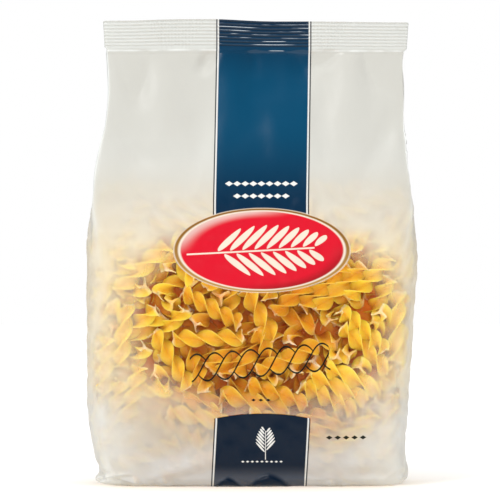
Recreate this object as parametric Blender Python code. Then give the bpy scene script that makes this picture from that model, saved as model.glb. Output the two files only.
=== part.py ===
"""A sealed film packet of pasta that stands on its own base.

The film is one tube: a front panel, a back panel and a gusset at each side. The
tube is crimped flat at the top, where the gussets are folded in between the
panels. Lower down the contents push the gussets out and round the corners off,
and at the bottom the film is folded to a flat base. The packet is shut, so it is
one solid. +Z is up, the front faces -Y, and the origin is the middle of the base.
"""

import math

import bmesh
import bpy
import numpy as np

MM = 0.001

# Driving dimensions, in millimetres
PACK_HEIGHT = 255.0
PANEL_WIDTH = 168.0  # flat width of the front panel, and of the back panel
GUSSET_FOLD = 31.5  # flat width of each half of a side gusset
SEAL_HEIGHT = 15.3
SEAL_HALF_THICKNESS = 0.6
RIB_COUNT = 8
RIB_DEPTH = 0.4
BASE_ROUNDING = 5.0
SEAL_WAVE = 1.6  # how far the top seal sways to the front and back
WAVE_START = 190.0  # the sway dies out below this height

# The print: a dark band up the front, in two lengths
BAND_LEFT = -21.0
BAND_RIGHT = 29.0
BAND_GAP = (36.0, 104.0)  # between these heights the band stops for the window

# The seam where the film was closed into a tube, flat on the back panel
SEAM_HALF_WIDTH = 6.0
SEAM_EDGE = 0.4
SEAM_THICKNESS = 0.6

# The fold of film that sticks out of the left corner of the base
EAR_HEIGHT = 1.6
EAR_REACH = 4.5
NOTCH_HEIGHT = 4.4
NOTCH_DEPTH = 2.0

# Height, then how far the packet reaches to its left and to its right
WIDTHS = (
    (0.0, 84.0, 85.0),
    (7.0, 84.6, 86.0),
    (18.0, 88.0, 84.6),
    (29.0, 90.0, 85.3),
    (46.0, 91.2, 86.9),
    (73.0, 91.6, 88.5),
    (101.0, 91.3, 90.2),
    (134.0, 91.0, 91.0),
    (150.0, 89.3, 89.9),
    (167.0, 86.9, 87.4),
    (183.0, 83.9, 85.5),
    (200.0, 81.0, 84.4),
    (216.0, 79.5, 85.0),
    (231.0, 80.3, 84.0),
    (240.0, 81.1, 85.0),
    (255.0, 81.9, 86.0),
)

# Height, then half the depth at the panels' long edges and at their middle
DEPTHS = (
    (0.0, 27.5, 31.5),
    (20.0, 27.5, 33.0),
    (60.0, 27.5, 33.8),
    (110.0, 27.0, 33.4),
    (140.0, 26.2, 31.2),
    (165.0, 22.0, 25.4),
    (185.0, 16.2, 18.0),
    (205.0, 10.2, 11.0),
    (222.0, 5.1, 5.5),
    (234.0, 1.9, 2.0),
    (238.5, 1.0, 1.0),
)

# Height, then how far the contents push the middle of a gusset out past the
# panels' edges, and over how much film a section's corners are rounded
FILLING = (
    (0.0, 6.0, 13.0),
    (60.0, 8.5, 15.0),
    (115.0, 8.5, 15.0),
    (140.0, 5.0, 13.0),
    (158.0, -4.0, 8.0),
    (175.0, -15.0, 4.0),
    (195.0, -25.0, 2.0),
    (238.5, -31.0, 1.0),
)

SEAL_BOTTOM = PACK_HEIGHT - SEAL_HEIGHT
BACK_START = PANEL_WIDTH + 2 * GUSSET_FOLD
FLAT_ROUND = 2 * BACK_START
FILM_STEP = 0.5
FILM = np.arange(0, FLAT_ROUND, FILM_STEP)


def profile(stations, column, height):
    """A smooth curve through one column of a table of stations, at a height."""
    heights = np.array([row[0] for row in stations])
    values = np.array([row[column] for row in stations])
    height = min(max(height, heights[0]), heights[-1])
    slopes = np.gradient(values, heights)
    low = min(int(np.searchsorted(heights, height, side="right")) - 1, len(heights) - 2)
    span = heights[low + 1] - heights[low]
    t = (height - heights[low]) / span
    rise = t * t * (3 - 2 * t)
    leave = t * (1 - t) ** 2 * span * slopes[low]
    arrive = t * t * (t - 1) * span * slopes[low + 1]
    return float(values[low] * (1 - rise) + values[low + 1] * rise + leave + arrive)


def ease(low, high, value):
    """0 at low, 1 at high and a smooth step between them."""
    t = min(max((value - low) / (high - low), 0.0), 1.0)
    return t * t * (3 - 2 * t)


def spaced(stops, counts):
    """Evenly spaced places between each two stops, without the last stop."""
    places = []
    for start, end, count in zip(stops, stops[1:], counts):
        places.extend(start + (end - start) * step / count for step in range(count))
    return places


def film_places():
    """Where each point of a section lies on the flat film, from the front's left edge."""
    half = PANEL_WIDTH / 2
    front_stops = (0, half + BAND_LEFT, half + BAND_RIGHT, PANEL_WIDTH)
    middle = BACK_START + half
    outer = SEAM_HALF_WIDTH + SEAM_EDGE
    back_stops = (
        BACK_START,
        middle - outer,
        middle - SEAM_HALF_WIDTH,
        middle + SEAM_HALF_WIDTH,
        middle + outer,
        BACK_START + PANEL_WIDTH,
    )
    front = spaced(front_stops, (12, 8, 10))
    right = spaced((PANEL_WIDTH, BACK_START), (14,))
    back = spaced(back_stops, (13, 1, 2, 1, 13))
    left = spaced((BACK_START + PANEL_WIDTH, FLAT_ROUND), (14,))
    return np.array(front + right + back + left)


PLACES = film_places()


def gusset_push(height, edge):
    """How far out the gussets' middle lies, and no deeper in than their film lets it."""
    deepest = math.sqrt(max(GUSSET_FOLD**2 - edge**2, 0.0))
    return max(profile(FILLING, 1, height), -deepest)


def film_outline(left, right, edge, middle, push):
    """The tube's section with sharp corners, a point for each step along the film."""
    from_front = FILM % BACK_START
    side = np.where(FILM < BACK_START, -1.0, 1.0)  # -1 on the front and the right gusset
    across = from_front / PANEL_WIDTH * 2 - 1
    on_panel = from_front < PANEL_WIDTH
    round_gusset = (from_front - PANEL_WIDTH) / GUSSET_FOLD - 1

    panel_x = np.where(side < 0, -left + (left + right) * (across + 1) / 2, 0)
    panel_x = np.where(side > 0, right - (left + right) * (across + 1) / 2, panel_x)
    panel_y = side * (edge + (middle - edge) * (1 - across**2))

    sharp = 1 - np.abs(round_gusset)
    soft = 1 - round_gusset**2
    fold = push * (soft if push > 0 else sharp)
    gusset_x = np.where(side < 0, right + fold, -left - fold)
    gusset_y = side * -round_gusset * edge

    x = np.where(on_panel, panel_x, gusset_x)
    y = np.where(on_panel, panel_y, gusset_y)
    return x, y


def softened(values, reach):
    """Each value averaged with its neighbours up to reach away, round the tube."""
    count = max(int(reach / FILM_STEP), 1)
    weights = np.hanning(2 * count + 3)[1:-1]
    weights /= weights.sum()
    around = np.concatenate([values[-count:], values, values[:count]])
    return np.convolve(around, weights, mode="valid")


def at_places(x, y):
    """The section's own points, read from its dense outline."""
    points_x = np.interp(PLACES, FILM, x, period=FLAT_ROUND)
    points_y = np.interp(PLACES, FILM, y, period=FLAT_ROUND)
    return np.stack([points_x, points_y], axis=1)


def raise_seam(points):
    """Lifts the strip of film that lies over the back panel's seam."""
    middle = BACK_START + PANEL_WIDTH / 2
    on_seam = np.abs(PLACES - middle) < SEAM_HALF_WIDTH + SEAM_EDGE / 2
    points[:, 1] += np.where(on_seam, SEAM_THICKNESS, 0)


def pull_ear(points, height):
    """Pushes the base's left front corner out in a fold, with a notch above it."""
    toward = np.exp(-(((points[:, 0] + 80) / 7) ** 2) - ((points[:, 1] + 22) / 9) ** 2)
    out = EAR_REACH * math.exp(-(((height - EAR_HEIGHT) / 1.2) ** 2))
    out -= NOTCH_DEPTH * math.exp(-(((height - NOTCH_HEIGHT) / 1.5) ** 2))
    points[:, 0] -= out * toward


def body_section(height):
    """The packet's outline at a height below the seal, as points in millimetres."""
    left = profile(WIDTHS, 1, height)
    right = profile(WIDTHS, 2, height)
    edge = profile(DEPTHS, 1, height)
    middle = profile(DEPTHS, 2, height)
    push = gusset_push(height, edge)
    outward = max(push, 0.0)
    x, y = film_outline(left - outward, right - outward, edge, middle, push)
    rounding = profile(FILLING, 2, height)
    x, y = softened(x, rounding), softened(y, rounding)
    x *= np.where(x > 0, right / x.max(), left / -x.min())
    y *= np.where(y > 0, middle / y.max(), middle / -y.min())
    points = at_places(x, y)
    if height < BASE_ROUNDING:
        inset = BASE_ROUNDING - math.sqrt(BASE_ROUNDING**2 - (BASE_ROUNDING - height) ** 2)
        points[:, 0] *= 1 - inset / left
        points[:, 1] *= 1 - inset / middle
    if height > BASE_ROUNDING:
        raise_seam(points)
    if height > 0:
        pull_ear(points, height)
    return points


def seal_section(height):
    """The crimped seal at a height: one flat sheet that zigzags up its ribs."""
    left = profile(WIDTHS, 1, height)
    right = profile(WIDTHS, 2, height)
    half = SEAL_HALF_THICKNESS
    points = at_places(*film_outline(left, right, half, half, 0))
    rib = (height - SEAL_BOTTOM) / SEAL_HEIGHT * RIB_COUNT
    points[:, 1] += RIB_DEPTH * (1 - 4 * abs(rib - math.floor(rib) - 0.5))
    return points


def sway(points, height):
    """Moves the upper packet to and fro, so that the seal isn't dead flat."""
    share = ease(WAVE_START, SEAL_BOTTOM, height)
    across = points[:, 0] / PANEL_WIDTH
    wave = np.sin(2 * math.pi * (1.25 * across + 0.13)) + 0.5 * np.sin(6.5 * math.pi * across)
    points[:, 1] += SEAL_WAVE * share * wave
    return points


def row_heights():
    """The heights of the rows of points, from the base up to the seal's lower edge."""
    base = [0.0, 0.7, 1.6, 2.9, 4.2, BASE_ROUNDING, 6.5]
    filled = list(np.linspace(9.0, 126.0, 12))
    folding = list(np.linspace(126.0, 198.0, 13))[1:]
    empty = list(np.linspace(198.0, 234.0, 6))[1:]
    return base + filled + folding + empty + [236.5, SEAL_BOTTOM - 1.2]


def packet_rows():
    """Every row of the solid, bottom to top, as (height, points)."""
    rows = [(h, sway(body_section(h), h)) for h in row_heights()]
    steps = 2 * RIB_COUNT
    for step in range(steps + 1):
        height = SEAL_BOTTOM + SEAL_HEIGHT * step / steps
        rows.append((height, sway(seal_section(height), height)))
    return rows


def set_row(row, height, points, place):
    """Puts a loop of vertices on a row, each at the point its own number names."""
    for vertex in row:
        x, y = points[vertex[place]]
        vertex.co = (x * MM, y * MM, height * MM)


def loft(rows):
    """A closed mesh through the rows: the base's face, extruded row by row and capped."""
    mesh = bmesh.new()
    place = mesh.verts.layers.int.new("place")
    circle = bmesh.ops.create_circle(mesh, cap_ends=True, segments=len(PLACES), radius=1.0)
    by_angle = sorted(circle["verts"], key=lambda v: math.atan2(v.co.y, v.co.x))
    for number, vertex in enumerate(by_angle):
        vertex[place] = number
    set_row(by_angle, rows[0][0], rows[0][1], place)
    loop = mesh.edges[:]
    for height, points in rows[1:]:
        grown = bmesh.ops.extrude_edge_only(mesh, edges=loop)["geom"]
        new_row = [item for item in grown if isinstance(item, bmesh.types.BMVert)]
        set_row(new_row, height, points, place)
        members = set(new_row)
        edges = [item for item in grown if isinstance(item, bmesh.types.BMEdge)]
        loop = [e for e in edges if e.verts[0] in members and e.verts[1] in members]
    bmesh.ops.contextual_create(mesh, geom=loop)
    bmesh.ops.recalc_face_normals(mesh, faces=mesh.faces[:])
    return mesh


def material(name, colour, roughness):
    """A plain Principled material."""
    made = bpy.data.materials.new(name)
    made.use_nodes = True
    shader = made.node_tree.nodes["Principled BSDF"]
    shader.inputs["Base Color"].default_value = (*colour, 1.0)
    shader.inputs["Roughness"].default_value = roughness
    shader.inputs["Metallic"].default_value = 0.0
    return made


def print_band(mesh):
    """Gives the faces under the printed band the second material."""
    for face in mesh.faces:
        middle = face.calc_center_median()
        in_band = BAND_LEFT * MM < middle.x < BAND_RIGHT * MM
        in_gap = BAND_GAP[0] * MM < middle.z < BAND_GAP[1] * MM
        if in_band and not in_gap and face.normal.y < -0.5:
            face.material_index = 1


def centre(mesh):
    """Moves the mesh so that the middle of its box stands over the origin."""
    places = np.array([vertex.co[:] for vertex in mesh.verts])
    middle = (places.min(axis=0) + places.max(axis=0)) / 2
    bmesh.ops.translate(mesh, verts=mesh.verts[:], vec=(-middle[0], -middle[1], 0))


def build_packet():
    """The shut packet, seal and all, as one object."""
    mesh = loft(packet_rows())
    centre(mesh)
    print_band(mesh)
    data = bpy.data.meshes.new("packet")
    mesh.to_mesh(data)
    mesh.free()
    data.materials.append(material("frosted film", (0.80, 0.79, 0.75), 0.45))
    data.materials.append(material("dark blue print", (0.004, 0.06, 0.15), 0.35))
    data.shade_smooth()
    data.set_sharp_from_angle(angle=math.radians(40))
    packet = bpy.data.objects.new("packet", data)
    bpy.context.scene.collection.objects.link(packet)
    return packet


def main():
    for old in list(bpy.data.objects):
        bpy.data.objects.remove(old, do_unlink=True)
    build_packet()


main()
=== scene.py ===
import math

import bmesh
import bpy
import numpy as np
from mathutils import Matrix, Vector, noise
from mathutils.bvhtree import BVHTree
from mathutils.kdtree import KDTree


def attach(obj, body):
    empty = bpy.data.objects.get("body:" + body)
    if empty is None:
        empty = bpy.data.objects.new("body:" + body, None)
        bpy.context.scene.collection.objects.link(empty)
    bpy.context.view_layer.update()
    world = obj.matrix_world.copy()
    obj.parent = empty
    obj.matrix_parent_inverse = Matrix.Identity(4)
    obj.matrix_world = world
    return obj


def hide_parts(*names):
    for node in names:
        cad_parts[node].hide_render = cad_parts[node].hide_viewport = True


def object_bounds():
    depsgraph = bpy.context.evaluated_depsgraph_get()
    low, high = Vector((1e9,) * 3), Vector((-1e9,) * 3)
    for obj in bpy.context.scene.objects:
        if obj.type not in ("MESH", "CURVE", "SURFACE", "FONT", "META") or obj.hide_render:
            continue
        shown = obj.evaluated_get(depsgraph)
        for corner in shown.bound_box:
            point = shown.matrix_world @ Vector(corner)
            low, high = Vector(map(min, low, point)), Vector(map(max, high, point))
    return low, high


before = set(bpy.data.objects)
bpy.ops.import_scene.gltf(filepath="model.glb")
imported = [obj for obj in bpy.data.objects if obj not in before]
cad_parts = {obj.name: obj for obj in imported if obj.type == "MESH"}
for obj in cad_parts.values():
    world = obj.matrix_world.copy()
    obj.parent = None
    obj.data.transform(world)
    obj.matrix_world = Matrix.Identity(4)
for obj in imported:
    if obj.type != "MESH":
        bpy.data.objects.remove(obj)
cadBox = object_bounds()
mm = 0.001
scene = bpy.context.scene
smooth = {"interpolation_type": "SMOOTHSTEP"}        # a Map Range with soft ends
asColour = {"output": 2, "data_type": "RGBA"}        # a Mix of colours


# Shared helpers

def linear(hexCode):
    parts = [int(hexCode[i:i + 2], 16) / 255 for i in (1, 3, 5)]
    return tuple(c / 12.92 if c <= 0.04045 else ((c + 0.055) / 1.055) ** 2.4 for c in parts) + (1.0,)


def put(tree, kind, links=(), output=0, **settings):
    node = tree.nodes.new("ShaderNode" + kind)
    for name, value in settings.items():
        setattr(node, name, value)
    for socket, value in links.items() if isinstance(links, dict) else enumerate(links):
        if isinstance(value, bpy.types.NodeSocket):
            tree.links.new(value, node.inputs[socket])
        else:
            node.inputs[socket].default_value = value
    return node.outputs[output]


def newMaterial(name, **values):
    # a bare material with one Principled shader, its plain values set on the shader's own sockets
    made = bpy.data.materials.new(name)
    made.use_nodes = True
    tree = made.node_tree
    shader = tree.nodes["Principled BSDF"]
    for socket, value in values.items():
        shader.inputs[socket.replace("_", " ")].default_value = value
    return made, tree, shader


def newPiece(name, data, material):
    piece = bpy.data.objects.new(name, data)
    scene.collection.objects.link(piece)
    data.materials.clear()
    data.materials.append(material)
    return piece


def giveAttribute(data, name, values):
    data.attributes.new(name, "FLOAT", "POINT").data.foreach_set("value", np.asarray(values, np.float32))


def smoothStep(low, high, value):
    t = np.clip((value - low) / (high - low), 0, 1)
    return t * t * (3 - 2 * t)


def noiseAt(places):
    return np.array([noise.noise(Vector(place)) for place in places])


def distanceFrom(tree, value, middle):
    away = put(tree, "Math", (value, middle), operation="SUBTRACT")
    return put(tree, "Math", (away,), operation="ABSOLUTE")


# The packet's own solid, merged, is the start of the film and the walls that the pasta is packed in

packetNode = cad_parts["packet"]


def mergedPacket():
    packet = bmesh.new()
    packet.from_mesh(packetNode.data)
    bmesh.ops.remove_doubles(packet, verts=packet.verts, dist=0.01 * mm)
    bmesh.ops.recalc_face_normals(packet, faces=packet.faces)
    return packet


# Dry fusilli, packed by pushing the spirals apart until they fit between the walls

pasta = {
    "pieces": 490,
    "seed": 7,
    "length": (31.0, 39.0),     # mm
    "bladeRadius": 5.3,         # mm, from the middle to a blade's edge
    "twist": 1.32,              # turns in a piece's length
    "nesting": 4.15,            # mm, how near two pieces' middles come, as blades sit in grooves
    "fromFilm": 6.2,            # mm, from a piece's middle line to the film
    "fillHeight": 161.0,        # mm, where the top of the pasta lies
    "seenTo": 22.0,             # mm under the film, past which a piece is part of the core
    "paintedShadeUnder": (8.0, 20.0),     # mm under the film, over which pieces take on more of the painted shade of the pack's inside
    "paler": (22.0, 62.0),      # mm from the window's middle, where pieces turn lighter
    "lying": (1.0, 0.35, 0.8),  # how much they point across, front to back and up
    "unevenTop": 3.0,           # mm
    "rounds": 170,
    "yield": 0.25,              # share of an overlap that a round takes away
}


def nearestOnPairs(a, b, first, second):
    # where two segments come closest, as a share of each one's length
    d1, d2 = b[first] - a[first], b[second] - a[second]
    gap = a[first] - a[second]
    e1, e2 = (d1 * d1).sum(1), (d2 * d2).sum(1)
    across = (d1 * d2).sum(1)
    g1, g2 = (d1 * gap).sum(1), (d2 * gap).sum(1)
    s = np.clip((across * g2 - g1 * e2) / np.maximum(e1 * e2 - across ** 2, 1e-9), 0, 1)
    t = np.clip((across * s + g2) / e2, 0, 1)
    s = np.clip((across * t - g1) / e1, 0, 1)
    return s, t


def packSpirals(walls):
    random = np.random.default_rng(pasta["seed"])
    count = pasta["pieces"]
    length = random.uniform(*pasta["length"], count)
    low, high = np.array(cadBox[0]) / mm, np.array(cadBox[1]) / mm
    high[2] = pasta["fillHeight"]
    middle = low + 12 + (high - low - 24) * random.random((count, 3))
    heading = random.normal(size=(count, 3)) * pasta["lying"]
    heading /= np.linalg.norm(heading, axis=1)[:, None]
    a = middle - heading * length[:, None] / 2
    b = middle + heading * length[:, None] / 2
    lid = pasta["fillHeight"] + random.normal(0, pasta["unevenTop"], count)
    everyPair = np.triu_indices(count, 1)
    for step in range(pasta["rounds"]):
        middle = (a + b) / 2
        if step % 6 == 0:
            apart = np.linalg.norm(middle[everyPair[0]] - middle[everyPair[1]], axis=1)
            near = apart < 2 * pasta["nesting"] + 36         # mm, near enough to touch
            first, second = everyPair[0][near], everyPair[1][near]
        s, t = nearestOnPairs(a, b, first, second)
        pointA = a[first] + (b[first] - a[first]) * s[:, None]
        pointB = a[second] + (b[second] - a[second]) * t[:, None]
        between = pointA - pointB
        distance = np.maximum(np.linalg.norm(between, axis=1), 1e-6)
        push = np.maximum(2 * pasta["nesting"] - distance, 0) * pasta["yield"]
        push = between / distance[:, None] * push[:, None]
        moveA, moveB = np.zeros_like(a), np.zeros_like(b)
        swing = 1.5                                          # an end moves further than the middle
        np.add.at(moveA, first, push * (1 - s)[:, None] * swing)
        np.add.at(moveB, first, push * s[:, None] * swing)
        np.add.at(moveA, second, -push * (1 - t)[:, None] * swing)
        np.add.at(moveB, second, -push * t[:, None] * swing)
        a += np.clip(moveA, -3, 3)
        b += np.clip(moveB, -3, 3)
        for share in (0.0, 0.5, 1.0):
            point = a + (b - a) * share
            inward = np.zeros_like(point)
            for number, place in enumerate(point):
                spot, normal, _, _ = walls.find_nearest(Vector(place))
                depth = (spot - Vector(place)).dot(normal)
                if depth < pasta["fromFilm"]:
                    inward[number] = np.array(normal) * (depth - pasta["fromFilm"])
            turned = np.clip(1 - point[:, 2] / film["tuck"][0], 0, 1) * film["tuck"][1]
            front = low[1] + pasta["fromFilm"] + 2.0 + turned
            inward[:, 1] += np.maximum(front - point[:, 1], 0) * (turned > 0)
            inward[:, 2] -= np.maximum(point[:, 2] - lid, 0) * 0.3
            weight = 1.6 if share == 0.5 else 1.0
            a += inward * (1.0 - share) * weight
            b += inward * share * weight
        heading = b - a
        heading /= np.linalg.norm(heading, axis=1)[:, None]
        middle = (a + b) / 2
        a = middle - heading * length[:, None] / 2
        b = middle + heading * length[:, None] / 2
    least = np.full(count, np.inf)          # only the spirals that reach out of the core are kept
    for share in (0.0, 0.25, 0.5, 0.75, 1.0):
        for number, place in enumerate(a + (b - a) * share):
            spot = walls.find_nearest(Vector(place))[0]
            roof = pasta["fillHeight"] - place[2]
            least[number] = min(least[number], (spot - Vector(place)).length, max(roof, 0))
    kept = least < pasta["seenTo"]
    return middle[kept], heading[kept], length[kept]


blade = {
    "root": 1.1,                 # mm from the middle to the valley between two blades
    "side": ((2.7, 0.60), (4.85, 0.42)),    # mm out along a blade, mm half as thick
    "steps": 20,
    "curl": 0.16,                # how far a blade's edge leans, in radians
    "fractureEdge": 0.28,        # mm, the pale rim of a broken end
    "fatness": (0.92, 1.06),     # from the thinnest piece to the thickest
    "slant": 0.10, "jagged": 0.45, "bow": 0.45,     # how skew the ends are, mm of jags there, mm that it bends
}


def spiralTemplate():
    # one spiral, 1 mm long for each unit of z from -0.5 to 0.5, swept from its three-bladed section
    turns = pasta["twist"] * 2 * math.pi
    mesh = bmesh.new()
    circle = bmesh.ops.create_circle(mesh, cap_ends=True, segments=18, radius=1.0)["verts"]
    circle.sort(key=lambda v: round(math.atan2(v.co.y, v.co.x), 4) % (2 * math.pi))
    (nearOut, nearHalf), (farOut, farHalf) = blade["side"]
    tip = pasta["bladeRadius"]
    # mm out along a blade, mm to its side and which blade, for the points from one tip to the next
    steps = (
        (tip, 0, 0), (farOut, farHalf, 0), (nearOut, nearHalf, 0),
        (blade["root"], 0, 0.5), (nearOut, -nearHalf, 1), (farOut, -farHalf, 1),
    )
    for number, vertex in enumerate(circle):
        out, aside, onto = steps[number % 6]
        turned = (number // 6 + onto) * 2 * math.pi / 3 + blade["curl"] * (out / tip) ** 2
        angle, radius = turned + math.atan2(aside, out), math.hypot(out, aside)
        vertex.co = (radius * math.cos(angle), radius * math.sin(angle), -0.5)
    bmesh.ops.spin(
        mesh, geom=mesh.faces[:], cent=(0, 0, 0), axis=(0, 0, 1),
        dvec=(0, 0, 1 / blade["steps"]), angle=turns, steps=blade["steps"], use_merge=False,
    )
    bmesh.ops.recalc_face_normals(mesh, faces=mesh.faces)
    ends = [f for f in mesh.faces if len(f.verts) > 4]
    rims = {v for f in ends for v in f.verts}
    bmesh.ops.inset_region(mesh, faces=ends, thickness=blade["fractureEdge"])
    bmesh.ops.triangulate(mesh, faces=[f for f in mesh.faces if len(f.verts) > 4])
    mesh.verts.index_update()
    places = np.array([v.co[:] for v in mesh.verts])
    rim = np.array([v in rims for v in mesh.verts])
    faces = [[v.index for v in f.verts] for f in mesh.faces]
    mesh.free()
    fromEnd = np.maximum(1 - 2 * np.abs(places[:, 2]), 0)
    places[:, 2] = 0.5 * np.sign(places[:, 2]) * (1 - fromEnd ** 1.25)    # closer rings near the ends
    return places, faces, rim


def makePasta(walls, material):
    random = np.random.default_rng(pasta["seed"] + 1)
    middle, heading, length = packSpirals(walls)
    places, faces, rim = spiralTemplate()
    radius = np.hypot(places[:, 0], places[:, 1])
    thirds = np.array_split(np.argsort(length), 3)
    made = []
    for name, members in zip(("fusilli_short", "fusilli_middle", "fusilli_long"), thirds):
        allPlaces, allFaces, tones, cuts, shadesAndGlows = [], [], [], [], []
        for number in members:
            p = places.copy()
            along = p[:, 2].copy()
            fat = random.uniform(*blade["fatness"])
            turn = random.uniform(0, 2 * math.pi) + along * random.normal(0, 0.8)
            wobble = 1 + 0.05 * np.sin(along * random.uniform(9, 16) + random.uniform(0, 6))
            x = (p[:, 0] * np.cos(turn) - p[:, 1] * np.sin(turn)) * fat * wobble
            y = (p[:, 0] * np.sin(turn) + p[:, 1] * np.cos(turn)) * fat * wobble
            slant = random.normal(0, blade["slant"], 2)
            z = along * length[number] + (slant[0] * x + slant[1] * y) * np.abs(along) * 2
            z += np.where(rim, random.normal(0, blade["jagged"], len(p)) - 0.15, 0)
            bow = random.normal(0, blade["bow"], 2)
            x += bow[0] * (1 - 4 * along ** 2)
            y += bow[1] * (1 - 4 * along ** 2)
            zAxis = heading[number]
            xAxis = np.cross(zAxis, (0, 1, 0) if abs(zAxis[1]) < 0.9 else (1, 0, 0))
            xAxis /= np.linalg.norm(xAxis)
            yAxis = np.cross(zAxis, xAxis)
            offset = len(allPlaces) * len(places)
            place = middle[number] + x[:, None] * xAxis + y[:, None] * yAxis + z[:, None] * zAxis
            allPlaces.append(place)
            allFaces += [[i + offset for i in face] for face in faces]
            outward = smoothStep(*pasta["paler"], abs(middle[number][0] - printed["window"][0]))
            tones.append(np.full(len(p), 0.5 * random.random() + 0.8 * outward))
            ragged = 0.25 + 0.75 * random.random()           # how white this one's ends broke
            pale = np.where(rim, random.uniform(0.3, 1.0, len(p)), 0.45 * (np.abs(along) > 0.499))
            cuts.append(pale * ragged)
            # painted shade and glow: low towards the blades' roots and for pieces deeper under the film, which
            # take the painted deep shade; highest at the blades' tips, which take the painted glow
            under = np.array([walls.find_nearest(Vector(spot))[3] for spot in place])
            across = 0.55 + 0.45 * radius / pasta["bladeRadius"]
            shadesAndGlows.append(across * (1 - 0.75 * smoothStep(*pasta["paintedShadeUnder"], under)))
        data = bpy.data.meshes.new(name)
        data.from_pydata((np.concatenate(allPlaces) * mm).tolist(), [], allFaces)
        for what, values in (("tone", tones), ("cut", cuts), ("shadeAndGlow", shadesAndGlows)):
            giveAttribute(data, what, np.concatenate(values))
        data.shade_smooth()
        data.set_sharp_from_angle(angle=math.radians(50))
        piece = newPiece(name, data, material)
        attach(piece, "root")
        made.append(piece)
    print("pasta:", len(length), "spirals in", len(made), "pieces")
    return made


core = {
    "size": (146.0, 32.0, 124.0),   # mm, 18 mm inside the film all round
    "up": 80.0,                     # mm, its middle
    "rounding": 10.0,
    "lumps": 4.0, "lumpSize": 6.5,  # mm
}


def makeCore(material):
    # the pasta too deep to make out one by one: a lumpy block that closes the gaps between the outer spirals
    mesh = bmesh.new()
    bmesh.ops.create_cube(mesh, size=1.0)
    bmesh.ops.scale(mesh, vec=[side * mm for side in core["size"]], verts=mesh.verts)
    bmesh.ops.bevel(
        mesh, geom=mesh.edges[:], offset=core["rounding"] * mm, offset_type="OFFSET", segments=4,
        profile=0.5, affect="EDGES", material=-1,
    )
    bmesh.ops.triangulate(mesh, faces=[f for f in mesh.faces if len(f.verts) > 4])
    while len(mesh.faces) < 9000:
        long = [e for e in mesh.edges if e.calc_length() > 4 * mm]
        if not long:
            break
        bmesh.ops.subdivide_edges(mesh, edges=long, cuts=1, use_grid_fill=True)
        bmesh.ops.triangulate(mesh, faces=mesh.faces)
    mesh.normal_update()
    lumps = noiseAt(v.co / (core["lumpSize"] * mm) for v in mesh.verts)
    for vertex, lump in zip(mesh.verts, lumps):
        vertex.co += vertex.normal * lump * core["lumps"] * mm
    bmesh.ops.translate(mesh, vec=(0, 0, core["up"] * mm), verts=mesh.verts)
    data = bpy.data.meshes.new("packed_pasta")
    mesh.to_mesh(data)
    mesh.free()
    giveAttribute(data, "tone", np.full(len(lumps), 0.3))
    giveAttribute(data, "cut", np.zeros(len(lumps)))
    # painted shade: the core takes the deep shaded colour, less of it where its lumps bulge out
    giveAttribute(data, "shadeAndGlow", np.clip(0.3 + 1.1 * lumps, 0, 0.75))
    data.shade_smooth()
    piece = newPiece("packed_pasta", data, material)
    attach(piece, "root")
    print("core:", len(data.polygons), "faces")


pastaLook = {
    "dark": "#D28E18", "light": "#EFCE3E",       # from one spiral to the next
    "deep": "#E26C1A",                            # painted shade, down in the grooves and between the pieces
    "edge": "#F6E08C",                            # painted glow, thin along the blades' edges, where light comes through
    "cut": "#FFF3D4",                             # the dry, broken ends
    "bran": "#8A5523",                            # specks of bran
    "grainSize": 0.35,                            # mm, the semolina's grain
}


def semolinaPasta():
    # durum semolina dough, extruded through a smooth die and dried: golden, waxy and a little clear, so light
    # goes some way in; grooves and deeper pieces get a painted orange shade, blade edges a painted glow
    made, tree, shader = newMaterial(
        "extruded durum semolina", Roughness=0.38, IOR=1.5, Specular_IOR_Level=0.22,
        Subsurface_Weight=0.35, Subsurface_Scale=0.0015, Subsurface_Radius=(1.0, 0.55, 0.2),
    )
    place = put(tree, "TexCoord", output=3)
    tone, cut, shadeAndGlow = (
        put(tree, "Attribute", output=2, attribute_name=name) for name in ("tone", "cut", "shadeAndGlow")
    )
    patch = put(tree, "TexNoise", {0: place, 2: 1 / (9 * mm), 3: 2.0})
    mixed = put(tree, "Math", (tone, 0.65), operation="MULTIPLY")
    mixed = put(tree, "Math", (patch, 0.6, mixed), operation="MULTIPLY_ADD")
    mixed = put(tree, "MapRange", (mixed, 0.2, 0.95, 0.0, 1.0))
    # painted shade towards the blades' roots and deeper in the pack, and a painted glow along the blades' thin
    # edges
    depth = put(tree, "MapRange", (shadeAndGlow, 0.92, 0.2, 0.0, 0.85))
    edge = put(tree, "MapRange", (shadeAndGlow, 0.96, 1.0, 0.0, 0.35))
    speck = put(tree, "TexVoronoi", {0: place, 2: 1 / (2.2 * mm)})
    speck = put(tree, "MapRange", (speck, 0.09, 0.05, 0.0, 0.6))
    colour = linear(pastaLook["dark"])
    for share, part in ((mixed, "light"), (depth, "deep"), (edge, "edge"), (cut, "cut"), (speck, "bran")):
        colour = put(tree, "Mix", {0: share, 6: colour, 7: linear(pastaLook[part])}, **asColour)
    tree.links.new(colour, shader.inputs["Base Color"])
    grain = put(tree, "TexNoise", {0: place, 2: 1 / (pastaLook["grainSize"] * mm), 3: 3.0})
    bump = put(tree, "Bump", {"Height": grain, "Strength": 0.25, "Distance": 0.05 * mm})
    tree.links.new(bump, shader.inputs["Normal"])
    return made


# The film

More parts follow.
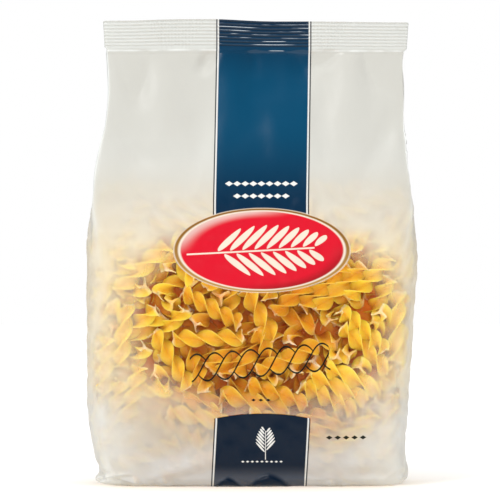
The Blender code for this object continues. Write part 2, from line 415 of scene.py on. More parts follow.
film = {
    "fineness": 2,               # times that each of the solid's faces is halved
    "sinkBetween": 1.0,          # mm, how far the film falls in between spirals
    "touch": (1.0, 5.5),         # mm to the nearest spiral, from lying on it to standing clear
    "clearance": 0.7,            # mm that stay between the film and a spiral
    "ribRelief": 0.10,           # mm, added to the seal's ribs
    "sealBottom": 239.7,         # mm up
    "ribPitch": 15.3 / 8,        # mm
    "swells": (30, 30, 42), "dimples": (9, 9, 13), "ridges": (16, 16, 24),      # mm wide, deep and high
    "knurled": ((-54, -29), (32, 51)), "toothPitch": 1.9,       # mm across, where the gussets lie in the seal
    "sealTop": ((-35, -72, 0.9), (-24, 12, 1.3), (30, 84, 0.5)),    # from and to in mm across, mm that it drops
    "tuck": (13.0, 4.5),         # mm up and mm in, how the front turns under at the base
    "ear": (4.2, 2.4, 2.4, -60.0, -84.0),   # mm up, mm thick, mm out, and mm across from where to where it grows
    "peaks": ((-12.8, 6.2, 8.0), (9.6, 8.6, 13.0)),    # folds in the tuck: mm across, up, half width at the foot
    "slackness": 1.4,            # how much deeper the dents below are than written there
    # soft dents and sharp creases of the front panel: from and to in mm across and up, half width, depth
    "dents": (
        ((-20, 239), (-28, 227), 3.5, -2.7),
        ((45, 239), (34, 229), 3.5, -2.4),
        ((-65, 239), (-63, 211), 7.0, -2.6),
        ((-45, 236), (-49, 190), 9.0, 1.7),
        ((66, 238), (68, 222), 6.0, -2.3),
        ((54, 238), (54, 195), 8.0, 1.5),
        ((1, 239), (2, 226), 3.0, -0.7),
        ((27, 237), (28, 219), 5.0, -1.9),
        ((-12, 233), (-8, 203), 8.0, 1.3),
        ((37, 218), (40, 180), 7.0, -1.5),
        ((-27, 215), (-30, 175), 8.0, -1.5),
        ((-74, 196), (-58, 170), 7.0, -1.6),
        ((76, 200), (62, 168), 7.0, -1.4),
        ((12, 205), (16, 172), 8.0, 1.0),
        ((84, 62), (79, 40), 3.0, -2.2),
        ((-85, 60), (-80, 30), 5.0, -1.6),
        ((-54, 5), (-22, 15), 3.0, 2.3),
        ((-60, 16), (-34, 22), 5.0, -1.6),
        ((24, 7), (40, 3), 5.0, -1.6),
        ((44, 16), (66, 9), 4.0, 1.3),
        ((60, 9), (78, 5), 4.0, -1.8),
    ),
    "creases": (
        ((-80, 238), (-84, 205), 1.6, -0.9),
        ((-84, 210), (-87, 168), 1.6, -1.2),
        ((-79, 214), (-83, 178), 1.3, 0.8),
        ((80, 238), (82, 205), 1.6, -0.8),
        ((80, 214), (85, 172), 1.6, -1.0),
        ((82, 64), (84, 40), 1.5, -1.3),
        ((78, 58), (86, 52), 1.3, 0.8),
        ((-90, 9), (-70, 3), 1.6, -2.0),
        ((-90, 4), (-66, 7), 1.8, 4.2),
        ((-79, 13), (-70, 1), 1.4, -1.8),
        ((-76, 5), (-56, 2), 1.4, 2.4),
        ((-88, 13), (-76, 8), 1.5, 2.2),
        ((70, 2), (84, 12), 1.5, 1.2),
        ((-26, 236), (-19, 238), 1.2, 0.9),
        ((31, 237), (24, 236), 1.2, 0.7),
    ),
}


def filmSurface():
    # the packet's solid with its triangles paired up again, then smoothly subdivided
    packet = mergedPacket()
    bmesh.ops.join_triangles(
        packet, faces=packet.faces, angle_face_threshold=math.radians(35),
        angle_shape_threshold=math.radians(60), cmp_seam=False, cmp_sharp=False, cmp_uvs=False,
    )
    data = bpy.data.meshes.new("film_start")
    packet.to_mesh(data)
    packet.free()
    start = bpy.data.objects.new("film_start", data)
    scene.collection.objects.link(start)
    finer = start.modifiers.new("finer", "SUBSURF")
    finer.levels = finer.render_levels = film["fineness"]
    evaluated = start.evaluated_get(bpy.context.evaluated_depsgraph_get())
    fine = bpy.data.meshes.new_from_object(evaluated)
    bpy.data.objects.remove(start)
    bpy.data.meshes.remove(data)
    return fine


def readVertices(data, field):
    values = np.empty(len(data.vertices) * 3, np.float32)
    if field == "co":
        data.vertices.foreach_get("co", values)
    else:
        data.vertex_normals.foreach_get("vector", values)
    return values.reshape(-1, 3).astype(float)


def strokeDepth(x, z, stroke, sharp):
    # how deep one dent or crease is at each place on the panel
    (x0, z0), (x1, z1), width, depth = stroke
    along = ((x - x0) * (x1 - x0) + (z - z0) * (z1 - z0)) / ((x1 - x0) ** 2 + (z1 - z0) ** 2)
    near = np.clip(along, 0, 1)
    far = np.hypot(x - x0 - near * (x1 - x0), z - z0 - near * (z1 - z0))
    shape = np.exp(-far / width) if sharp else np.exp(-((far / width) ** 2))
    return depth * shape * (0.45 + 0.55 * np.sin(np.pi * near))


def wrinkleField(p, normal):
    # how far each of the film's points moves along its normal, in mm
    x, _, z = p.T
    front = smoothStep(0.15, 0.5, -normal[:, 1])
    back = smoothStep(0.15, 0.5, normal[:, 1])
    side = 1 - np.maximum(front, back)
    slack = smoothStep(120, 175, z)                       # the film hangs loose above the pasta
    seal = smoothStep(film["sealBottom"] - 3, film["sealBottom"], z)
    move = np.zeros(len(p))
    for stroke in film["dents"]:
        move += film["slackness"] * front * strokeDepth(x, z, stroke, False)
        move += film["slackness"] * back * strokeDepth(-x * 0.93 + 4, z * 1.02 - 3, stroke, False) * (z > 30)
    for stroke in film["creases"]:
        move += front * strokeDepth(x, z, stroke, True)
        move += back * strokeDepth(-x, z, stroke, True)
    soft = noiseAt(p / film["swells"])
    fine = noiseAt(p / film["dimples"] + (40, 0, 0))
    ridge = 1 - 2 * np.abs(noiseAt(p / film["ridges"] + (0, 9, 0)))
    shoulder = np.exp(-(((z - 152) / 22) ** 2)) * (0.25 + 0.75 * side)
    foot = np.exp(-((z / 12) ** 2)) * (1 - smoothStep(0.3, 0.8, -normal[:, 2]))
    move += soft * (0.6 + 1.1 * slack) + fine * (0.20 + 0.10 * slack)
    move += (ridge - 0.5) * (0.9 * shoulder + 0.9 * foot + 0.2 * slack)
    move *= 1 - seal
    under = np.exp(-(((z - film["sealBottom"] + 1.6) / 1.1) ** 2))
    move += under * (front + back) * (0.42 + 0.4 * fine)  # the film stands up in a lip under the seal
    move *= smoothStep(0, 1.5, z) * 0.9 + 0.1             # the foot stays flat on the floor
    return move


def footTuck(p):
    # how far the front turns in at the foot, less where two folds in it stand out
    x, y, z = p.T
    height, inward = film["tuck"]
    tuck = inward * np.clip(1 - z / height, 0, 1) ** 1.2
    for across, top, half in film["peaks"]:
        share = 1 - z / top - (np.abs(x - across) / half) ** 1.5
        tuck *= 1 - 0.9 * smoothStep(0.0, 0.4, share)
    return tuck * smoothStep(-14, -30, y) * smoothStep(90, 78, np.abs(x))


def cornerEar(p):
    # the ear of folded film at the foot's front left corner: how far it sticks out, and how creased it is
    x, y, z = p.T
    up, thick, out, start, end = film["ear"]
    uneven = noiseAt(p * (x < start)[:, None] / (5, 5, 2.2))
    near = np.exp(-(((z - up) / thick) ** 2)) * smoothStep(start, end, x) * smoothStep(6, -12, y)
    near *= smoothStep(0, 1.2, z)
    return out * near * (1 + 1.1 * uneven), near * np.clip(0.75 + 1.6 * uneven, 0, 1)


def roomAlong(layers, p, way):
    # mm from each point to the next layer of film that way
    found = [layers.ray_cast(Vector(a), Vector(b), 40.0)[3] for a, b in zip(p + way * 0.05, way)]
    return np.array([40.0 if far is None else far for far in found])


def makeFilm(spirals, panelMaterial, sealMaterial):
    data = filmSurface()
    p, normal = readVertices(data, "co") / mm, readVertices(data, "normal")
    layers = BVHTree.FromPolygons(p.tolist(), [face.vertices[:] for face in data.polygons])
    places = np.concatenate([readVertices(spiral.data, "co") for spiral in spirals]) / mm
    tree = KDTree(len(places))
    for number, place in enumerate(places):
        tree.insert(place, number)
    tree.balance()
    top = pasta["fillHeight"]
    filled = p[:, 2] < top + 12
    gap = np.zeros(len(p))
    for i in np.flatnonzero(filled):
        gap[i] = tree.find(p[i])[2]
    sink = smoothStep(0.8, 6.5, gap) * film["sinkBetween"] * smoothStep(2, 8, p[:, 2])
    touch = filled * (1 - smoothStep(*film["touch"], gap))
    move = wrinkleField(p, normal) - sink * smoothStep(top + 12, top - 8, p[:, 2])
    move = np.where(filled, np.maximum(move, -np.maximum(gap - film["clearance"], 0)), move)
    move = np.clip(move, -0.42 * roomAlong(layers, p, -normal), 0.42 * roomAlong(layers, p, normal))
    p = p + normal * move[:, None]
    p[:, 1] += np.minimum(footTuck(p), np.maximum(gap - film["clearance"], 0))
    seal = smoothStep(film["sealBottom"], film["sealBottom"] + 0.8, p[:, 2])
    seal *= smoothStep(255.0, 254.4, p[:, 2])
    uneven = 1 + 0.9 * noiseAt(p * (1 / 11, 0, 1 / 6))
    ribs = -np.cos(2 * np.pi * (p[:, 2] - film["sealBottom"]) / film["ribPitch"])
    p[:, 1] += seal * film["ribRelief"] * uneven * ribs
    standsOut = seal * ribs * np.sign(normal[:, 1])
    # the lip under the seal, broken by noise, where a painted highlight goes
    lip = np.exp(-(((p[:, 2] - film["sealBottom"] + 1.6) / 0.6) ** 2)) * np.abs(normal[:, 1])
    lip *= np.clip(0.8 + 1.6 * noiseAt(p * (1 / 9, 0, 0) + (3, 5, 0)), 0.05, 1)
    ear, creased = cornerEar(p)
    p[:, 0] -= ear
    for start, end, drop in film["sealTop"]:
        p[:, 2] -= drop * smoothStep(start, end, p[:, 0]) * smoothStep(225, 255, p[:, 2])
    p[:, 2] = np.maximum(p[:, 2], 0)
    data.vertices.foreach_set("co", (p * mm).astype(np.float32).ravel())
    giveAttribute(data, "panel", -normal[:, 1])
    giveAttribute(data, "touch", touch)
    # crest and valley: where the printed film gets its painted highlights and its painted shade
    giveAttribute(data, "crest", np.maximum(np.maximum(standsOut, lip), creased))
    giveAttribute(data, "valley", np.maximum(-standsOut, 0))
    data.shade_smooth()
    piece = newPiece("film_bag", data, panelMaterial)
    data.materials.append(sealMaterial)
    for face in data.polygons:
        face.material_index = int(face.center[2] > (film["sealBottom"] - 4) * mm)
    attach(piece, "root")
    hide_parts("packet")
    print("film:", len(data.polygons), "faces")
    return piece


printed = {
    "bandFoot": 3.9, "bandHalf": 24.6,           # mm, the band's middle at the base, half its width
    "bandLeans": ((0, 36, 1.9), (60, 150, -0.7), (156, 240, 1.6)),    # from and to in mm up, mm to the right
    "whiteLine": 0.8, "darkLine": 0.7,           # mm, the two lines down each side
    "boxTop": 40.5, "boxArch": 2.4,              # mm up, and how much its corners are lower
    "oval": (5.6, 129.1, 47.7, 22.7),            # mm across, up, half width, half height
    "goldTo": 0.957, "creamTo": 0.928,
    "window": (6.0, 93.4, 77.5, 49.5, 53.0),     # mm across, up, half width, reach up, reach down
    "haze": (0.85, 1.34),                        # where white ink starts and is full, in the window's size
    "soft": 0.22,                                # mm, how sharp an ink's edge is
    # the band's blue: a painted light upper blue, the middle blue, and a painted shade lower blue
    "upperBlue": "#004160", "midBlue": "#002640", "lowerBlue": "#001428",
    "darkInk": "#1B1E27", "white": "#DADAD6",
    "gold": "#845A1F", "paleGold": "#AF8544", "cream": "#DDD0BF", "red": "#CC0E26", "deepRed": "#9C101B",
    "gloss": "#D3AFA7", "penInk": "#10140A",
    "paintedRibShade": "#020D18", "paintedRibGlint": "#D4DBE0", "paintedFloorSheen": "#474C56",    # painted shade in the ribs, painted glints on them, a painted floor reflection at the foot
    "frost": "#BDBCB5",                          # the white ink over the headspace
    # and over the pasta's top and beside the window (a painted glow of the pasta behind), low down (painted
    # shade)
    # and at the foot: from and to in mm up, how much
    "frostBelow": (
        ("#CEC6B5", 182.0, 135.0, 0.95),
        ("#D9CBAC", 148.0, 120.0, 1.0),
        ("#BAB1A2", 66.0, 30.0, 1.0),
        ("#C2C0BD", 30.0, 8.0, 1.0),
    ),
    # towards the lower corners, on the turned edges (doubled film, and painted light where they catch it), where
    # four layers are sealed, and painted highlights along folds, crests and the lip under the seal
    "frostCorner": "#CFCDC6", "frostEdge": "#DEE0DD", "frostSealed": "#C3C4BF", "frostPaintedHighlight": "#E2E4E2",
}


def penSpiral(tree, u, v, size):
    # a spiral of pasta drawn with a pen: its three blades' edges are waves, a third of a turn apart
    halfLength, halfHeight, turns, line = size
    pace = math.pi * turns / halfLength
    drawn, highest, lowest = 0.0, -1.0, 1.0
    for third in range(3):
        turned = put(tree, "Math", (u, pace, third * 2 * math.pi / 3 + 0.5), operation="MULTIPLY_ADD")
        height = put(tree, "Math", (turned,), operation="SINE")
        away = put(tree, "Math", (height, -halfHeight, v), operation="MULTIPLY_ADD")
        away = put(tree, "Math", (away,), operation="ABSOLUTE")
        rising = put(tree, "Math", (turned,), operation="COSINE")
        slope = put(tree, "Math", (rising, halfHeight * pace), operation="MULTIPLY")
        slope = put(tree, "Math", (slope, slope, 1.0), operation="MULTIPLY_ADD")
        slope = put(tree, "Math", (slope,), operation="SQRT")
        away = put(tree, "Math", (away, slope), operation="DIVIDE")
        stroke = put(tree, "MapRange", (away, line + 0.1, line - 0.1, 0.0, 1.0))
        nearSide = put(tree, "MapRange", (rising, -0.30, -0.22, 0.0, 1.0))      # a blade's far side is hidden
        stroke = put(tree, "Math", (stroke, nearSide), operation="MULTIPLY")
        drawn = put(tree, "Math", (drawn, stroke), operation="MAXIMUM")
        highest = put(tree, "Math", (height, highest), operation="MAXIMUM")
        lowest = put(tree, "Math", (height, lowest), operation="MINIMUM")
    for outline in (highest, lowest):                     # the scalloped outline along the top and the bottom
        away = put(tree, "Math", (outline, -halfHeight, v), operation="MULTIPLY_ADD")
        away = put(tree, "Math", (away,), operation="ABSOLUTE")
        stroke = put(tree, "MapRange", (away, line + 0.2, line, 0.0, 1.0))
        drawn = put(tree, "Math", (drawn, stroke), operation="MAXIMUM")
    span = put(tree, "Math", (u,), operation="ABSOLUTE")
    ends = put(tree, "MapRange", (span, halfLength, halfLength - 0.3, 0.0, 1.0))
    return put(tree, "Math", (drawn, ends), operation="MULTIPLY")


def wheatEar(tree, u, v, size):
    # an ear of wheat along u: slanting grains down both sides of a stalk, one fewer on the lower side
    grains, grainLength, spacing, stalk = size
    halfLength = grains * spacing / 2
    away = put(tree, "Math", (v,), operation="ABSOLUTE")
    stagger = put(tree, "Math", (v, 0.0), operation="GREATER_THAN")
    slanted = put(tree, "Math", (away, -1.05, u), operation="MULTIPLY_ADD")
    cell = put(tree, "Math", (slanted, spacing), operation="DIVIDE")
    cell = put(tree, "Math", (stagger, 0.5, cell), operation="MULTIPLY_ADD")
    cell = distanceFrom(tree, put(tree, "Math", (cell,), operation="FRACT"), 0.5)
    shrink = put(tree, "Math", (u, halfLength), operation="DIVIDE")
    shrink = put(tree, "Math", (shrink, 2.0), operation="POWER")
    shrink = put(tree, "Math", (shrink, -0.45, 1.0), operation="MULTIPLY_ADD")
    reach = put(tree, "Math", (shrink, grainLength / 2), operation="MULTIPLY")
    middle = put(tree, "Math", (reach, stalk), operation="ADD")
    fromMiddle = put(tree, "Math", (away, middle), operation="SUBTRACT")
    fromMiddle = put(tree, "Math", (fromMiddle, reach), operation="DIVIDE")
    fromMiddle = put(tree, "Math", (fromMiddle, 2.0), operation="POWER")
    width = put(tree, "Math", (1.0, fromMiddle), operation="SUBTRACT")
    width = put(tree, "Math", (width, 0.0), operation="MAXIMUM")
    width = put(tree, "Math", (width, 0.6), operation="POWER")
    room = put(tree, "Math", (width, 0.41), operation="MULTIPLY")
    room = put(tree, "Math", (room, cell), operation="SUBTRACT")
    grain = put(tree, "MapRange", (room, 0.0, 0.06, 0.0, 1.0))
    last = put(tree, "Math", (stagger, spacing / 2, halfLength - spacing / 2), operation="MULTIPLY_ADD")
    span = put(tree, "Math", (slanted,), operation="ABSOLUTE")
    span = put(tree, "Math", (span, last), operation="LESS_THAN")        # ends between two grains
    grain = put(tree, "Math", (grain, span), operation="MULTIPLY")
    stem = put(tree, "MapRange", (away, stalk * 0.55 + 0.12, stalk * 0.55 - 0.12, 0.0, 1.0))
    left = put(tree, "MapRange", (u, -halfLength * 1.45, -halfLength * 1.45 + 0.3, 0.0, 1.0))
    right = put(tree, "MapRange", (u, halfLength * 0.9, halfLength * 0.9 - 0.3, 0.0, 1.0))
    stem = put(tree, "Math", (stem, left), operation="MULTIPLY")
    stem = put(tree, "Math", (stem, right), operation="MULTIPLY")
    return put(tree, "Math", (grain, stem), operation="MAXIMUM")


def beadRow(tree, u, v, size):
    # a row of small lozenges
    spacing, count, bead = size
    cell = put(tree, "Math", (u, spacing * count / 2), operation="ADD")
    cell = put(tree, "Math", (cell, spacing), operation="DIVIDE")
    cell = distanceFrom(tree, put(tree, "Math", (cell,), operation="FRACT"), 0.5)
    far = put(tree, "Math", (v,), operation="ABSOLUTE")
    far = put(tree, "Math", (cell, spacing * 0.62, far), operation="MULTIPLY_ADD")
    lozenge = put(tree, "MapRange", (far, bead + 0.1, bead - 0.1, 0.0, 1.0))
    span = put(tree, "Math", (u,), operation="ABSOLUTE")
    ends = put(tree, "MapRange", (span, spacing * count / 2, spacing * count / 2 - 0.1, 0.0, 1.0))
    return put(tree, "Math", (lozenge, ends), operation="MULTIPLY")


def moved(tree, x, z, across, up, degrees=0.0):
    # x and z measured from a motif's own middle, along and across it
    place = put(tree, "CombineXYZ", (x, z, 0.0))
    turn = (0, 0, math.radians(degrees))
    place = put(tree, "Mapping", {0: place, 1: (across, up, 0), 2: turn}, vector_type="TEXTURE")
    parts = put(tree, "SeparateXYZ", (place,)).node
    return parts.outputs[0], parts.outputs[1]


def printedFilm(name, roughness, specular):
    # two-ply polypropylene film, printed on the inside in reverse: satin, with white ink that thins out to a
    # clear window, and solid inks that look even and a little deep behind the film
    made, tree, shader = newMaterial(name, Roughness=roughness, IOR=1.49, Specular_IOR_Level=specular)
    soft = printed["soft"]
    place = put(tree, "TexCoord", output=3)
    inMm = put(tree, "VectorMath", {0: place, 3: 1 / mm}, operation="SCALE")
    parts = put(tree, "SeparateXYZ", (inMm,)).node
    x, z = parts.outputs[0], parts.outputs[2]
    panel, touch, crest, valley = (
        put(tree, "Attribute", output=2, attribute_name=name) for name in ("panel", "touch", "crest", "valley")
    )
    front = put(tree, "MapRange", (panel, 0.08, 0.14, 0.0, 1.0))
    onPanel = put(tree, "Math", (panel,), operation="ABSOLUTE")

    # white ink: thin in the window, thick above the pasta and at the sides
    across, up, halfWide, above, below = printed["window"]
    u, v = moved(tree, x, z, across, up)
    u = put(tree, "Math", (u, halfWide), operation="DIVIDE")
    rise, fall = (put(tree, "Math", (v, reach), operation="DIVIDE") for reach in (above, -below))
    v = put(tree, "Math", (rise, fall), operation="MAXIMUM")
    ring = put(tree, "Math", (u, u), operation="MULTIPLY")
    ring = put(tree, "Math", (v, v, ring), operation="MULTIPLY_ADD")
    ring = put(tree, "Math", (ring,), operation="SQRT")
    blotch = put(tree, "TexNoise", {0: place, 2: 1 / (22 * mm), 3: 2.0})
    ring = put(tree, "Math", (blotch, 0.2, ring), operation="MULTIPLY_ADD")
    thick = put(tree, "MapRange", (ring, *printed["haze"], 0.0, 1.0), **smooth)
    most = put(tree, "MapRange", (z, 40.0, 95.0, 0.78, 0.98), **smooth)
    outer = put(tree, "MapRange", (ring, 1.35, 1.6, 0.0, 1.0))
    foot = put(tree, "MapRange", (z, 27.0, 10.0, 0.0, 1.0), **smooth)
    outer = put(tree, "Math", (outer, foot), operation="MAXIMUM")
    most = put(tree, "Mix", {0: outer, 2: most, 3: 0.96}, output=0, data_type="FLOAT")
    # clearer where it lies on a spiral, less so in the thickest ink and up at the pasta's top
    for fading in ((outer, 0.0, 1.0, 1.0, 0.45), (z, 168.0, 125.0, 0.2, 1.0)):
        touch = put(tree, "Math", (touch, put(tree, "MapRange", fading)), operation="MULTIPLY")
    most = put(tree, "Math", (touch, -0.25, most), operation="MULTIPLY_ADD")
    thick = put(tree, "Math", (thick, most), operation="MULTIPLY")
    thick = put(tree, "Math", (thick, 0.01), operation="ADD")
    plain = put(tree, "MapRange", (z, 120.0, 170.0, 0.88, 0.95))
    plain = put(tree, "Math", (touch, -0.16, plain), operation="MULTIPLY_ADD")
    facing = put(tree, "MapRange", (panel, 0.1, 0.65, 0.0, 1.0), **smooth)
    alpha = put(tree, "Mix", {0: facing, 2: plain, 3: thick}, output=0, data_type="FLOAT")
    corner = put(tree, "MapRange", (distanceFrom(tree, x, -3.0), 46.0, 84.0, 0.0, 1.0), **smooth)
    lowDown = put(tree, "MapRange", (z, 66.0, 30.0, 0.0, 1.0), **smooth)
    corner = put(tree, "Math", (corner, lowDown), operation="MULTIPLY")
    # paler on the turned edges: the film is doubled there, and painted light where the edges catch it
    turned = put(tree, "MapRange", (onPanel, 0.97, 0.7, 0.0, 1.0))
    highUp = put(tree, "MapRange", (z, 130.0, 175.0, 0.3, 1.0))
    turned = put(tree, "Math", (turned, highUp), operation="MULTIPLY")
    inSeal = put(tree, "MapRange", (z, film["sealBottom"] - 3, film["sealBottom"], 0.0, 1.0))
    # painted highlight along the ribs' crests, the lip under the seal and the ear's creases
    paintedHighlight = put(tree, "MapRange", (crest, 0.2, 1.0, 0.0, 0.8))
    outOfSeal = put(tree, "MapRange", (inSeal, 0.0, 1.0, 1.0, 0.5))
    paintedHighlight = put(tree, "Math", (paintedHighlight, outOfSeal), operation="MULTIPLY")
    # tints by height: a painted glow of the pasta through the ink up high, painted shade low down, a cooler grey
    # at the foot
    tints = [
        (put(tree, "MapRange", (z, start, end, 0.0, amount), **smooth), ink)
        for ink, start, end, amount in printed["frostBelow"]
    ]
    for share, name in ((corner, "Corner"), (turned, "Edge"), (inSeal, "Sealed"), (paintedHighlight, "PaintedHighlight")):
        tints.append((share, printed["frost" + name]))
    colour = linear(printed["frost"])
    for share, ink in tints:
        colour = put(tree, "Mix", {0: share, 6: colour, 7: linear(ink)}, **asColour)

    # the dark band, with a white and a dark line down each side
    fromBand = x
    for low, high, lean in printed["bandLeans"]:
        middle = put(tree, "MapRange", (z, low, high, 0.0, lean))
        fromBand = put(tree, "Math", (fromBand, middle), operation="SUBTRACT")
    fromBand = distanceFrom(tree, fromBand, printed["bandFoot"])
    upper = put(tree, "Math", (z, printed["oval"][1]), operation="GREATER_THAN")
    notFront = put(tree, "Math", (1.0, front), operation="SUBTRACT")
    arch = put(tree, "Math", (fromBand, printed["bandHalf"]), operation="DIVIDE")
    arch = put(tree, "Math", (arch, 2.0), operation="POWER")
    arch = put(tree, "Math", (arch, printed["boxArch"], z), operation="MULTIPLY_ADD")
    lower = put(tree, "MapRange", (arch, printed["boxTop"] + soft, printed["boxTop"] - soft, 0.0, 1.0))
    height = put(tree, "Math", (upper, lower), operation="MAXIMUM")
    height = put(tree, "Math", (height, notFront), operation="MAXIMUM")
    notSide = put(tree, "MapRange", (onPanel, 0.08, 0.14, 0.0, 1.0))
    height = put(tree, "Math", (height, notSide), operation="MULTIPLY")
    # painted light and shade: the band lighter high up and darker towards the bottom, where it tilts away from
    # the light
    paintedLitBlue = put(tree, "MapRange", (z, 150.0, 200.0, 0.0, 1.0), **smooth)
    nearTop = put(tree, "MapRange", (z, 255.0, 215.0, 0.0, 1.0), **smooth)
    paintedLitBlue = put(tree, "Math", (paintedLitBlue, nearTop), operation="MULTIPLY")
    low = put(tree, "MapRange", (z, 160.0, 45.0, 0.0, 1.0))
    blue = linear(printed["midBlue"])
    for share, ink in ((paintedLitBlue, "upperBlue"), (low, "lowerBlue")):
        blue = put(tree, "Mix", {0: share, 6: blue, 7: linear(printed[ink])}, **asColour)
    half, white, dark = printed["bandHalf"], printed["whiteLine"], printed["darkLine"]
    layers = []
    for edge, ink in (
        (half + white + dark, linear(printed["darkInk"])),
        (half + white, linear(printed["white"])),
        (half, blue),
    ):
        within = put(tree, "MapRange", (fromBand, edge + soft, edge - soft, 0.0, 1.0))
        inBand = put(tree, "Math", (within, height), operation="MULTIPLY")
        layers.append((inBand, ink))

    # painted shade darkens the ink between the seal's ribs, and painted glints lie pale along them, in broken
    # streaks
    paintedRibShade = put(tree, "MapRange", (inBand, 0.0, 1.0, 0.07, 0.7))
    paintedRibShade = put(tree, "Math", (paintedRibShade, valley), operation="MULTIPLY")
    layers.append((paintedRibShade, linear(printed["paintedRibShade"])))
    glintStreak = put(tree, "VectorMath", (inMm, (1 / 24, 0, 1 / 1.7)), operation="MULTIPLY")
    glintStreak = put(tree, "TexNoise", {0: glintStreak, 2: 1.0, 3: 3.0, 4: 0.6})
    glintStreak = put(tree, "MapRange", (glintStreak, 0.49, 0.6, 0.0, 1.0))
    narrow = put(tree, "MapRange", (crest, 0.72, 1.0, 0.0, 1.0))
    glintStreak = put(tree, "Math", (glintStreak, narrow), operation="MULTIPLY")
    layers.append((put(tree, "Math", (glintStreak, inBand), operation="MULTIPLY"), linear(printed["paintedRibGlint"])))

    # a painted reflection of the floor, pale on the ink where the film turns under at the foot, but not on the
    # two folds there
    paintedFloorSheen = put(tree, "MapRange", (z, 13.0, 2.5, 0.0, 1.0), **smooth)
    for across, top, half in film["peaks"]:
        share = put(tree, "Math", (distanceFrom(tree, x, across), half), operation="DIVIDE")
        share = put(tree, "Math", (share, 1.5), operation="POWER")
        share = put(tree, "Math", (1.0, share), operation="SUBTRACT")
        share = put(tree, "Math", (z, -1 / top, share), operation="MULTIPLY_ADD")
        spared = put(tree, "MapRange", (share, -0.05, 0.32, 1.0, 0.0), **smooth)
        paintedFloorSheen = put(tree, "Math", (paintedFloorSheen, spared), operation="MULTIPLY")
    paintedFloorSheen = put(tree, "Math", (paintedFloorSheen, inBand), operation="MULTIPLY")
    layers.append((put(tree, "Math", (paintedFloorSheen, front), operation="MULTIPLY"), linear(printed["paintedFloorSheen"])))

    # the oval, its two rings and the gloss printed on it
    across, up, halfWide, halfHigh = printed["oval"]
    u, v = moved(tree, x, z, across, up)
    uShare = put(tree, "Math", (u, halfWide), operation="DIVIDE")
    vShare = put(tree, "Math", (v, halfHigh), operation="DIVIDE")
    inOval = put(tree, "Math", (uShare, uShare), operation="MULTIPLY")
    inOval = put(tree, "Math", (vShare, vShare, inOval), operation="MULTIPLY_ADD")
    inOval = put(tree, "Math", (inOval,), operation="SQRT")
    blur = soft / halfHigh
    goldTone = put(tree, "MapRange", (v, 10.0, -20.0, 0.0, 1.0))
    gold, paleGold = linear(printed["gold"]), linear(printed["paleGold"])
    gold = put(tree, "Mix", {0: goldTone, 6: gold, 7: paleGold}, **asColour)
    slant = put(tree, "Math", (uShare, -0.62), operation="MULTIPLY")
    slant = put(tree, "Math", (vShare, 0.80, slant), operation="MULTIPLY_ADD")
    rim = put(tree, "MapRange", (inOval, 0.74, 0.93, 0.0, 1.0), **smooth)
    red = linear(printed["red"])
    for start, end, ink in ((-0.35, -0.9, "deepRed"), (0.45, 0.85, "gloss")):
        share = put(tree, "MapRange", (slant, start, end, 0.0, 1.0), **smooth)
        share = put(tree, "Math", (share, rim), operation="MULTIPLY")
        red = put(tree, "Mix", {0: share, 6: red, 7: linear(printed[ink])}, **asColour)
    for edge, ink in (
        (1.012, linear(printed["cream"])),
        (1.0, gold),
        (printed["goldTo"], linear(printed["cream"])),
        (printed["creamTo"], red),
    ):
        within = put(tree, "MapRange", (inOval, edge + blur, edge - blur, 0.0, 1.0))
        layers.append((put(tree, "Math", (within, front), operation="MULTIPLY"), ink))

    # motifs: an ear of wheat in the oval and one in the box, beads in the band, a pen drawing over the window
    cream, white, pen = linear(printed["cream"]), linear(printed["white"]), linear(printed["penInk"])
    # kind, middle in mm across and up, degrees turned, its own counts and sizes in mm, ink
    for motif, middle, turned, size, ink in (
        (wheatEar, (across + 2.0, up), 3.0, (9, 13.0, 6.6, 0.8), cream),
        (wheatEar, (7.5, 25.0), 90.0, (7, 5.0, 1.95, 0.35), white),
        (beadRow, (5.3, 165.2), 0.0, (4.4, 9, 1.35), white),
        (beadRow, (5.3, 158.5), 0.0, (4.4, 7, 1.35), white),
        (beadRow, (5.6, 14.2), 0.0, (2.6, 9, 0.55), white),
        (penSpiral, (4.5, 68.2), 5.0, (38.0, 7.4, 2.6, 0.4), pen),
        (beadRow, (5.0, 47.8), 0.0, (4.0, 3, 0.8), pen),
        (beadRow, (51.4, 27.2), 0.0, (4.6, 5, 1.1), pen),
    ):
        u, v = moved(tree, x, z, *middle, turned)
        layers.append((put(tree, "Math", (motif(tree, u, v, size), front), operation="MULTIPLY"), ink))
    for mask, ink in layers:
        alpha = put(tree, "Math", (alpha, mask), operation="MAXIMUM")
        share = put(tree, "Math", (mask, alpha), operation="DIVIDE")      # no white in ink over clear film
        colour = put(tree, "Mix", {0: share, 6: colour, 7: ink}, **asColour)
    tree.links.new(colour, shader.inputs["Base Color"])
    tree.links.new(alpha, shader.inputs["Alpha"])

    # faint dimples in the film, and the crimping jaws' knurling where four layers meet in the seal
    height = put(tree, "TexNoise", {0: place, 2: 1 / (3.5 * mm), 3: 3.0, 4: 0.55})
    for low, high in film["knurled"]:
        half = (high - low) / 2
        reach = put(tree, "MapRange", (z, film["sealBottom"], 255.0, half - 4, half + 4))
        within = put(tree, "Math", (reach, distanceFrom(tree, x, (low + high) / 2)), operation="SUBTRACT")
        within = put(tree, "MapRange", (within, 0.0, 1.2, 0.0, 1.0))
        within = put(tree, "Math", (within, inSeal), operation="MULTIPLY")
        teeth = put(tree, "Math", (x, 2 * math.pi / film["toothPitch"]), operation="MULTIPLY")
        teeth = put(tree, "Math", (teeth,), operation="SINE")
        teeth = put(tree, "Math", (teeth, within), operation="MULTIPLY")
        height = put(tree, "Math", (teeth, 0.9, height), operation="MULTIPLY_ADD")
    bump = put(tree, "Bump", {"Height": height, "Strength": 0.3, "Distance": 0.25 * mm})
    tree.links.new(bump, shader.inputs["Normal"])
    return made


# Floor, light and camera

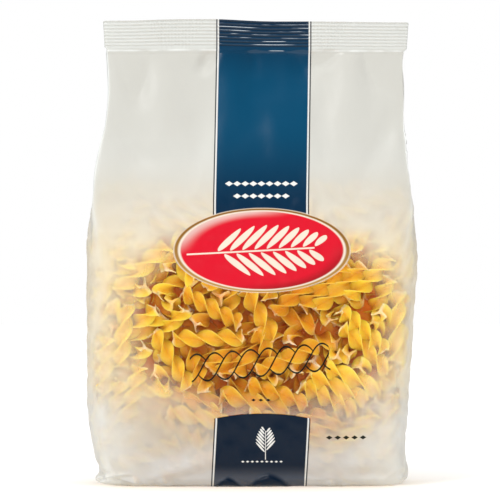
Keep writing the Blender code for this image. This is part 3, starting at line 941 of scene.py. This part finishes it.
studio = {
    "floor": "#F7F7F6",
    "floorSize": 1.7,            # m to each side
    "world": "#FFFFFF",
    # the backdrop is white, the light from it is softer, and little of it shows in the gloss
    "backdrop": 1.0, "lightFromWorld": 0.42, "inGloss": 0.25,
    "overhead": 2.2, "overheadSpread": 70.0,       # W/m2 and degrees, a softbox over the table
    # name, place in m, size in m, power in W, whether it shows in gloss, which a polarized softbox doesn't
    "lamps": (
        ("key", (-1.0, -1.1, 1.25), 0.55, 11.0, True),
        ("fill", (1.3, -1.1, 0.7), 0.9, 2.5, False),
        ("front", (0.2, -2.0, 0.5), 0.9, 9.0, False),
    ),
    "cameraDistance": 2.6,       # m
    "elevation": 2.0,            # degrees
    "frameSize": 0.2748,         # m across the photo, at the packet
    "lookAt": (-0.0009, 0, 0.1282),
}


def makeFloor():
    mesh = bmesh.new()
    bmesh.ops.create_grid(mesh, x_segments=2, y_segments=2, size=studio["floorSize"])
    data = bpy.data.meshes.new("floor")
    mesh.to_mesh(data)
    mesh.free()
    paint, _, shader = newMaterial("matt white studio floor", Roughness=0.9, Specular_IOR_Level=0.1)
    shader.inputs["Base Color"].default_value = linear(studio["floor"])
    floor = newPiece("floor", data, paint)


def makeLights():
    scene.world = bpy.data.worlds.new("studio")
    scene.world.use_nodes = True
    tree = scene.world.node_tree
    seen, inGloss = put(tree, "LightPath", output=0), put(tree, "LightPath", output=3)
    strength = put(tree, "MapRange", (seen, 0.0, 1.0, studio["lightFromWorld"], studio["backdrop"]))
    dimmer = studio["inGloss"] - studio["lightFromWorld"]
    strength = put(tree, "Math", (inGloss, dimmer, strength), operation="MULTIPLY_ADD")
    sky = tree.nodes["Background"]
    sky.inputs[0].default_value = linear(studio["world"])
    tree.links.new(strength, sky.inputs[1])
    data = bpy.data.lights.new("overhead", "SUN")
    data.energy, data.angle = studio["overhead"], math.radians(studio["overheadSpread"])
    overhead = bpy.data.objects.new("overhead", data)
    scene.collection.objects.link(overhead)
    overhead.visible_glossy = False
    for name, place, size, power, inGloss in studio["lamps"]:
        data = bpy.data.lights.new(name, "AREA")
        data.shape, data.size, data.energy = "DISK", size, power
        lamp = bpy.data.objects.new(name, data)
        scene.collection.objects.link(lamp)
        lamp.location = place
        lamp.visible_glossy = inGloss
        lamp.rotation_euler = (Vector((0, 0, 0.12)) - Vector(place)).to_track_quat("-Z", "Y").to_euler()


def makeCamera():
    data = bpy.data.cameras.new("camera")
    camera = bpy.data.objects.new("camera", data)
    scene.collection.objects.link(camera)
    scene.camera = camera
    tilt = math.radians(studio["elevation"])
    target = Vector(studio["lookAt"])
    camera.location = target + Vector((0, -math.cos(tilt), math.sin(tilt))) * studio["cameraDistance"]
    camera.rotation_euler = (target - camera.location).to_track_quat("-Z", "Y").to_euler()
    data.lens = data.sensor_width * studio["cameraDistance"] / studio["frameSize"]


def makePacket():
    packet = mergedPacket()
    packet.transform(Matrix.Scale(1 / mm, 4))
    walls = BVHTree.FromBMesh(packet)
    packet.free()
    semolina = semolinaPasta()
    spirals = makePasta(walls, semolina)
    makeCore(semolina)
    # the hot jaws leave the seal glossier than the satin panels
    bag = makeFilm(
        spirals, printedFilm("printed polypropylene film", 0.34, 0.2),
        printedFilm("heat-sealed polypropylene film", 0.24, 0.35),
    )
    bag.visible_shadow = bag.visible_diffuse = False      # thin film lets nearly all light in to the pasta


scene.view_settings.view_transform = "Standard"
makePacket()
makeFloor()
makeLights()
makeCamera()
print("studio: floor, lights and camera")
